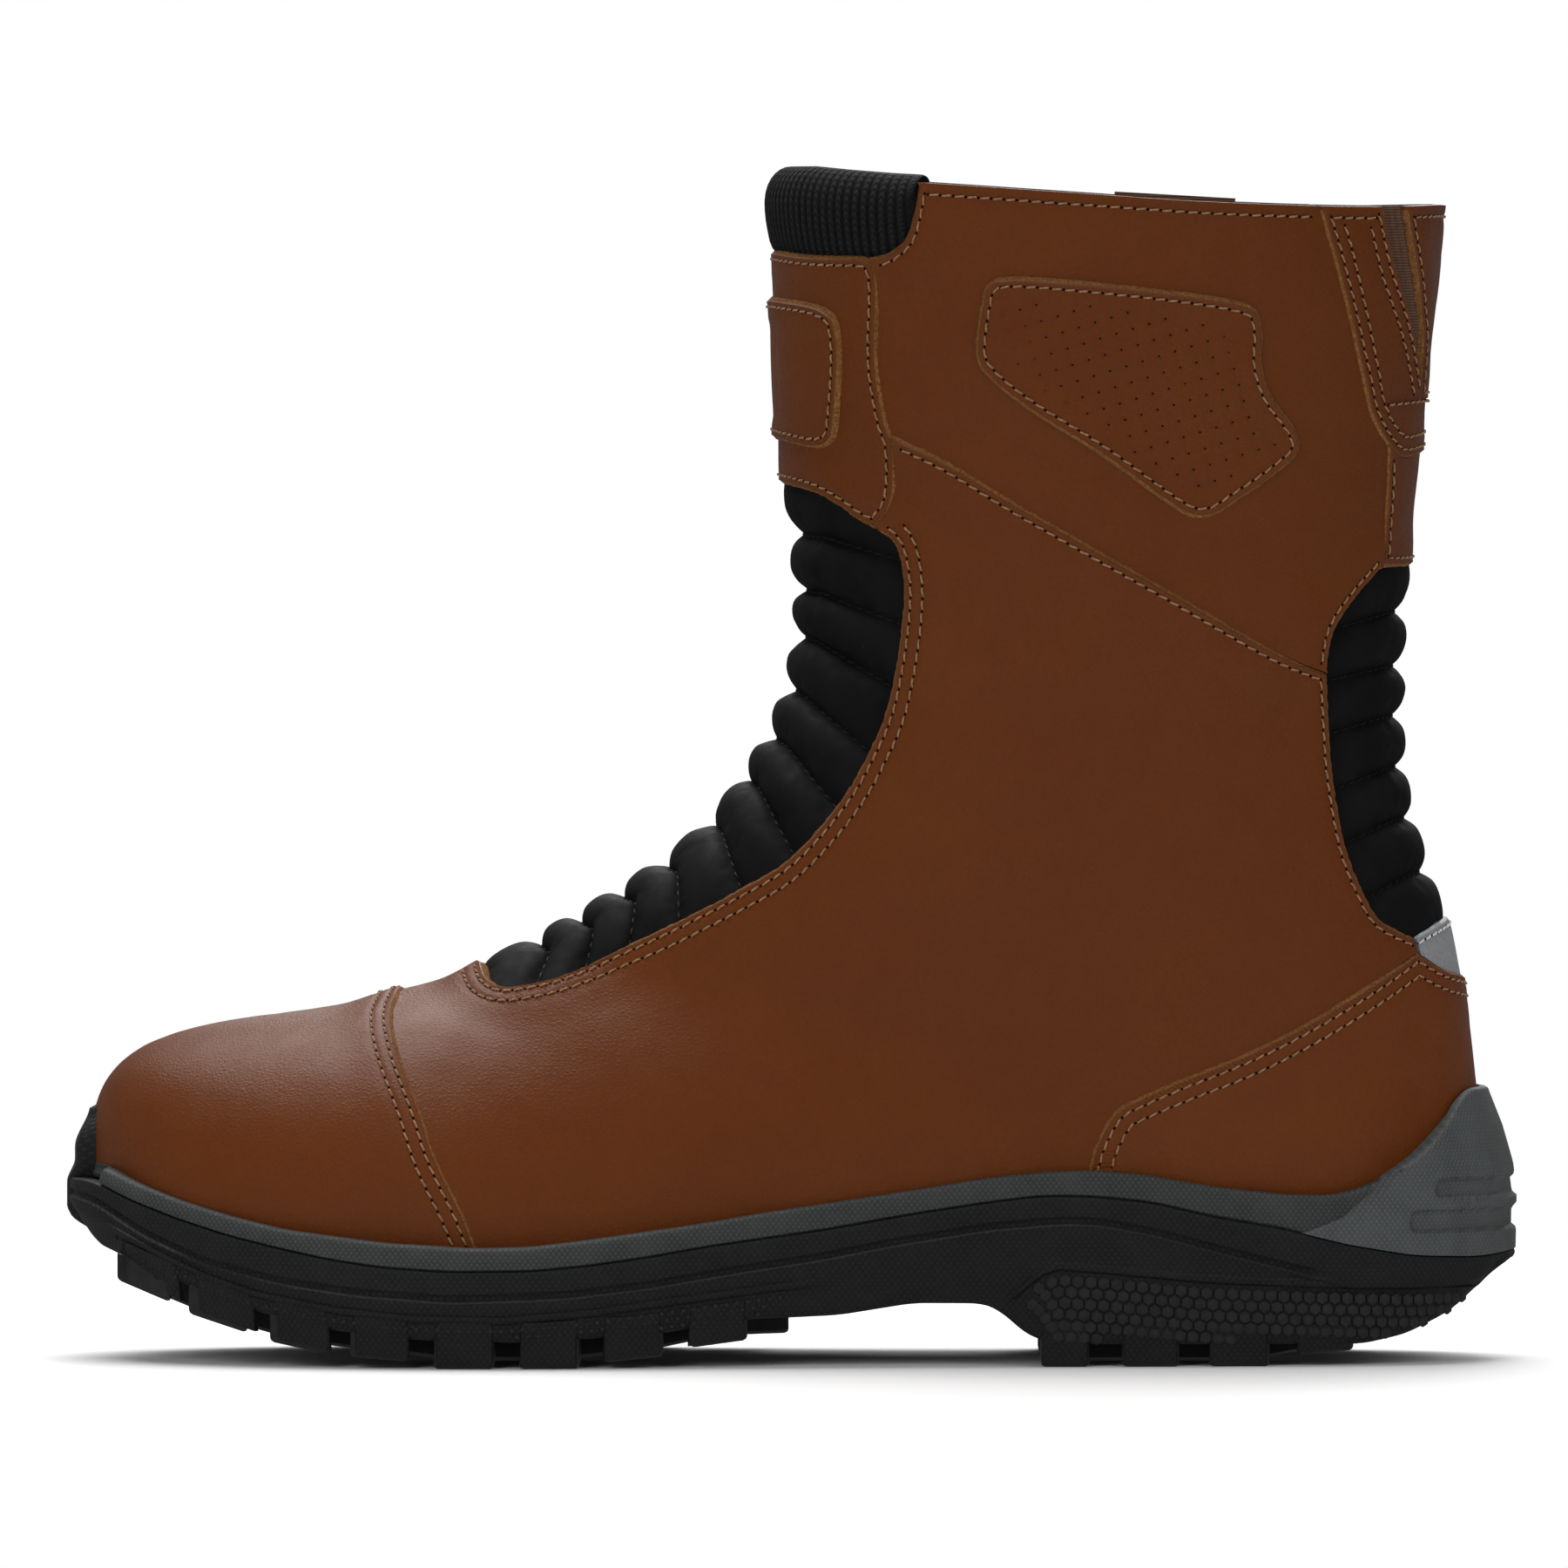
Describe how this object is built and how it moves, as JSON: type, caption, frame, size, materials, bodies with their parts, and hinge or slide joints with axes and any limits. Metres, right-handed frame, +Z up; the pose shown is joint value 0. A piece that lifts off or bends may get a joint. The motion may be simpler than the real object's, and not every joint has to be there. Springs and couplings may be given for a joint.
{
  "type": "motorcycle riding boot",
  "caption": "Mid-calf brown leather motorcycle boot, left foot, with black accordion flex panels, knitted collar, inner-side zip and grey and black lugged cup sole.",
  "frame": {"origin": "on the floor under the middle of the boot's length and width", "axes": "+X from toe to heel, +Y towards the inner side of the foot, +Z up"},
  "size_m": [0.3102, 0.1124, 0.2553],
  "materials": {
    "leather_brown": "satin, fine grain",
    "softshell_black": "matt padded softshell",
    "knit_black": "rib knit",
    "foxing_grey": "matt, fine diamond texture",
    "rubber_black": "satin, fine woven texture",
    "elastic_brown": "ribbed elastic",
    "reflective_grey": "retroreflective textile",
    "lining_mesh": "spacer mesh",
    "foam_black": "textile on foam",
    "stiffener_board": "pressed fibre board",
    "steel_plain": "plain spring steel",
    "zip_textile": "woven tape",
    "zip_nylon": "nylon coil",
    "zip_metal": "dark nickel"
  },
  "bodies": {
    "boot": {"toe_cap": "leather_brown", "vamp_quarters": "leather_brown", "shin_panel": "leather_brown", "shaft_panel_outer": "leather_brown", "shaft_panel_inner_front": "leather_brown", "shaft_panel_inner_rear": "leather_brown", "backstay": "leather_brown", "gore_cover": "leather_brown", "back_strip": "leather_brown", "heel_cover": "leather_brown", "shin_patch": "leather_brown", "perforated_patch": "leather_brown", "front_flex_panel": "softshell_black", "rear_flex_panel": "softshell_black", "reflective_tab": "reflective_grey", "elastic_gore_outer": "elastic_brown", "elastic_gore_inner": "elastic_brown", "knit_collar": "knit_black", "toe_puff": "stiffener_board", "heel_stiffener": "stiffener_board", "ankle_cup_outer": "foam_black", "ankle_cup_inner": "foam_black", "foot_lining": "lining_mesh", "shaft_lining": "lining_mesh", "insole_board": "stiffener_board", "footbed": "foam_black", "shank": "steel_plain", "outsole": "rubber_black", "heel_cup": "foxing_grey", "foxing_band": "foxing_grey", "zip_tape_front": "zip_textile", "zip_tape_rear": "zip_textile", "zip_coil_front": "zip_nylon", "zip_coil_rear": "zip_nylon", "zip_top_stop_front": "zip_metal", "zip_top_stop_rear": "zip_metal", "zip_bottom_stop": "zip_metal", "zip_gusset": "elastic_brown"},
    "zip_slider": {"zip_slider": "zip_metal"},
    "zip_pull": {"zip_pull": "zip_metal"}
  },
  "joints": [
    {"name": "zip_travel", "type": "slide", "parent": "boot", "child": "zip_slider", "axis": [0.107, 0.0547, 0.9928], "range_m": [-0.15, 0]},
    {"name": "pull_swing", "type": "hinge", "parent": "zip_slider", "child": "zip_pull", "pos_m": [0.08117, 0.05328, 0.23531], "axis": [0.9942, 0, -0.1072], "range_deg": [0, 150]}
  ]
}
